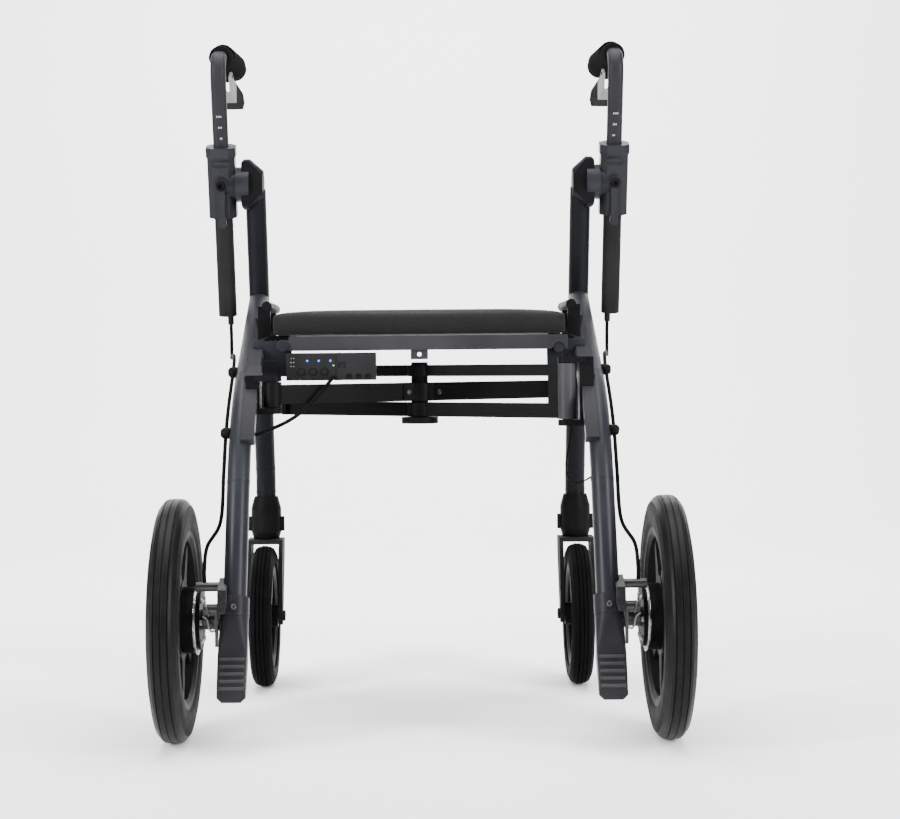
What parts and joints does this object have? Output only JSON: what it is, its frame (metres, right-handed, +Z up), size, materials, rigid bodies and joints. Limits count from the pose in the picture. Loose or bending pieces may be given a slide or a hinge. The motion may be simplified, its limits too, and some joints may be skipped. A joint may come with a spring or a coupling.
{
  "type": "rollator transport chair",
  "caption": "Folding rollator transport chair with powered rear hub wheels, swivel casters, padded seat, lock bar, X brace, and height-adjustable braked handles.",
  "frame": {"origin": "middle of the bounding box on the floor", "axes": "+Z up, +Y forward towards the casters, +X to the right seen from behind"},
  "size_m": [0.678, 0.6704, 0.9573],
  "materials": {
    "frame": "satin anthracite paint",
    "bar": "satin grey paint",
    "clamp": "satin blue-grey paint",
    "handle": "satin grey paint",
    "plastic": "matte black",
    "sleeve": "matte dark grey",
    "steel": "brushed steel",
    "lever": "satin silver",
    "tyre": "grey-black rubber",
    "rubber": "soft black rubber",
    "fabric": "charcoal woven mesh"
  },
  "bodies": {
    "left_frame": {"left_front_tube": "frame", "left_rear_tube": "frame", "left_foot_pedal": "plastic", "left_axle_bracket": "steel", "left_caster_housing": "plastic", "left_handle_hinge": "plastic", "left_brake_cable": "rubber", "left_brace_bracket": "plastic", "left_saddle": "plastic", "left_bar_bracket": "frame", "left_seat_rail": "plastic", "seat_cushion": "fabric", "control_box": "plastic", "battery_cover": "plastic", "power_cable": "rubber", "bracket_screws": "steel"},
    "right_frame": {"right_front_tube": "frame", "right_rear_tube": "frame", "right_foot_pedal": "plastic", "right_axle_bracket": "steel", "right_caster_housing": "plastic", "right_handle_hinge": "plastic", "right_brake_cable": "rubber", "right_brace_bracket": "plastic", "right_saddle": "plastic", "right_bar_bracket": "frame", "right_seat_rail": "plastic"},
    "single_link_body": {"single_link": "bar", "centre_column": "plastic"},
    "double_link_body": {"double_link": "bar"},
    "lock_bar_body": {"lock_bar": "bar"},
    "left_rear_wheel": {"left_hub_motor": "plastic", "left_rear_rim": "plastic", "left_rear_tyre": "tyre"},
    "left_brake_arm_body": {"left_brake_arm": "steel"},
    "left_caster_swivel_body": {"left_caster_fork": "frame"},
    "left_caster_wheel": {"left_caster_rim": "plastic", "left_caster_tyre": "tyre"},
    "left_handle_holder": {"left_handle_clamp": "clamp", "left_guide_sleeve": "sleeve"},
    "left_quick_lever": {"left_clamp_lever": "plastic"},
    "left_handle": {"left_handle_tube": "handle", "left_grip": "rubber"},
    "left_brake_lever_body": {"left_brake_lever": "lever"},
    "right_rear_wheel": {"right_hub_motor": "plastic", "right_rear_rim": "plastic", "right_rear_tyre": "tyre"},
    "right_brake_arm_body": {"right_brake_arm": "steel"},
    "right_caster_swivel_body": {"right_caster_fork": "frame"},
    "right_caster_wheel": {"right_caster_rim": "plastic", "right_caster_tyre": "tyre"},
    "right_handle_holder": {"right_handle_clamp": "clamp", "right_guide_sleeve": "sleeve"},
    "right_quick_lever": {"right_clamp_lever": "plastic"},
    "right_handle": {"right_handle_tube": "handle", "right_grip": "rubber"},
    "right_brake_lever_body": {"right_brake_lever": "lever"},
    "button_1_body": {"button_1": "plastic"},
    "button_2_body": {"button_2": "plastic"},
    "button_3_body": {"button_3": "plastic"}
  },
  "joints": [
    {"name": "brace_fold", "type": "hinge", "parent": "left_frame", "child": "single_link_body", "pos_m": [-0.198, -0.09275, 0.448], "axis": [0, 0, 1], "range_deg": [0, 30], "deforming": ["seat_cushion"]},
    {"name": "brace_cross", "type": "hinge", "parent": "single_link_body", "child": "double_link_body", "pos_m": [0, 0.04775, 0.448], "axis": [0, 0, 1], "range_deg": [-60, 0]},
    {"name": "right_frame_fold", "type": "hinge", "parent": "double_link_body", "child": "right_frame", "pos_m": [0.198, -0.09275, 0.448], "axis": [0, 0, 1], "range_deg": [0, 30]},
    {"name": "lock_bar_lift", "type": "hinge", "parent": "left_frame", "child": "lock_bar_body", "pos_m": [-0.19, -0.01325, 0.514], "axis": [0, -1, 0], "range_deg": [0, 60]},
    {"name": "left_wheel_spin", "type": "hinge", "parent": "left_frame", "child": "left_rear_wheel", "pos_m": [-0.319, -0.17775, 0.1575], "axis": [1, 0, 0], "continuous": true},
    {"name": "left_caster_swivel", "type": "hinge", "parent": "left_frame", "child": "left_caster_swivel_body", "pos_m": [-0.238, 0.26725, 0.236], "axis": [0, 0, 1], "continuous": true},
    {"name": "left_caster_spin", "type": "hinge", "parent": "left_caster_swivel_body", "child": "left_caster_wheel", "pos_m": [-0.238, 0.22925, 0.106], "axis": [1, 0, 0], "continuous": true},
    {"name": "left_handle_tilt", "type": "hinge", "parent": "left_frame", "child": "left_handle_holder", "pos_m": [-0.266, 0.12396, 0.752], "axis": [-1, 0, 0], "range_deg": [0, 100], "deforming": ["left_brake_cable"]},
    {"name": "left_handle_height", "type": "slide", "parent": "left_handle_holder", "child": "left_handle", "axis": [0, -0.309, 0.9511], "range_m": [-0.01, 0.1]},
    {"name": "left_quick_release", "type": "hinge", "parent": "left_handle_holder", "child": "left_quick_lever", "pos_m": [-0.286, 0.12242, 0.75675], "axis": [0, 0.9511, 0.309], "range_deg": [0, 95]},
    {"name": "left_brake_pull", "type": "hinge", "parent": "left_handle", "child": "left_brake_lever_body", "pos_m": [-0.28373, 0.12607, 0.91035], "axis": [0.9962, -0.0872, 0], "range_deg": [-14, 6], "stiffness_Nm_per_rad": 2},
    {"name": "left_brake_arm_turn", "type": "hinge", "parent": "left_frame", "child": "left_brake_arm_body", "pos_m": [-0.27, -0.21175, 0.1755], "axis": [1, 0, 0], "range_deg": [-8.4, 3.6]},
    {"name": "right_wheel_spin", "type": "hinge", "parent": "right_frame", "child": "right_rear_wheel", "pos_m": [0.319, -0.17775, 0.1575], "axis": [1, 0, 0], "continuous": true},
    {"name": "right_caster_swivel", "type": "hinge", "parent": "right_frame", "child": "right_caster_swivel_body", "pos_m": [0.238, 0.26725, 0.236], "axis": [0, 0, 1], "continuous": true},
    {"name": "right_caster_spin", "type": "hinge", "parent": "right_caster_swivel_body", "child": "right_caster_wheel", "pos_m": [0.238, 0.22925, 0.106], "axis": [1, 0, 0], "continuous": true},
    {"name": "right_handle_tilt", "type": "hinge", "parent": "right_frame", "child": "right_handle_holder", "pos_m": [0.266, 0.12396, 0.752], "axis": [-1, 0, 0], "range_deg": [0, 100], "deforming": ["right_brake_cable"]},
    {"name": "right_handle_height", "type": "slide", "parent": "right_handle_holder", "child": "right_handle", "axis": [0, -0.309, 0.9511], "range_m": [-0.01, 0.1]},
    {"name": "right_quick_release", "type": "hinge", "parent": "right_handle_holder", "child": "right_quick_lever", "pos_m": [0.286, 0.12242, 0.75675], "axis": [0, -0.9511, -0.309], "range_deg": [0, 95]},
    {"name": "right_brake_pull", "type": "hinge", "parent": "right_handle", "child": "right_brake_lever_body", "pos_m": [0.28373, 0.12607, 0.91035], "axis": [0.9962, 0.0872, 0], "range_deg": [-14, 6], "stiffness_Nm_per_rad": 2},
    {"name": "right_brake_arm_turn", "type": "hinge", "parent": "right_frame", "child": "right_brake_arm_body", "pos_m": [0.27, -0.21175, 0.1755], "axis": [1, 0, 0], "range_deg": [-8.4, 3.6]},
    {"name": "button_1_press", "type": "slide", "parent": "left_frame", "child": "button_1_body", "axis": [0, 1, 0], "range_m": [0, 0.0015], "stiffness_N_per_m": 400},
    {"name": "button_2_press", "type": "slide", "parent": "left_frame", "child": "button_2_body", "axis": [0, 1, 0], "range_m": [0, 0.0015], "stiffness_N_per_m": 400},
    {"name": "button_3_press", "type": "slide", "parent": "left_frame", "child": "button_3_body", "axis": [0, 1, 0], "range_m": [0, 0.0015], "stiffness_N_per_m": 400}
  ],
  "couplings": [
    {"joint": "brace_cross", "follows": "brace_fold", "ratio": -2},
    {"joint": "right_frame_fold", "follows": "brace_fold", "ratio": 1},
    {"joint": "lock_bar_lift", "follows": "brace_fold", "ratio": 2},
    {"joint": "left_brake_arm_turn", "follows": "left_brake_pull", "ratio": 0.6},
    {"joint": "right_brake_arm_turn", "follows": "right_brake_pull", "ratio": 0.6}
  ]
}
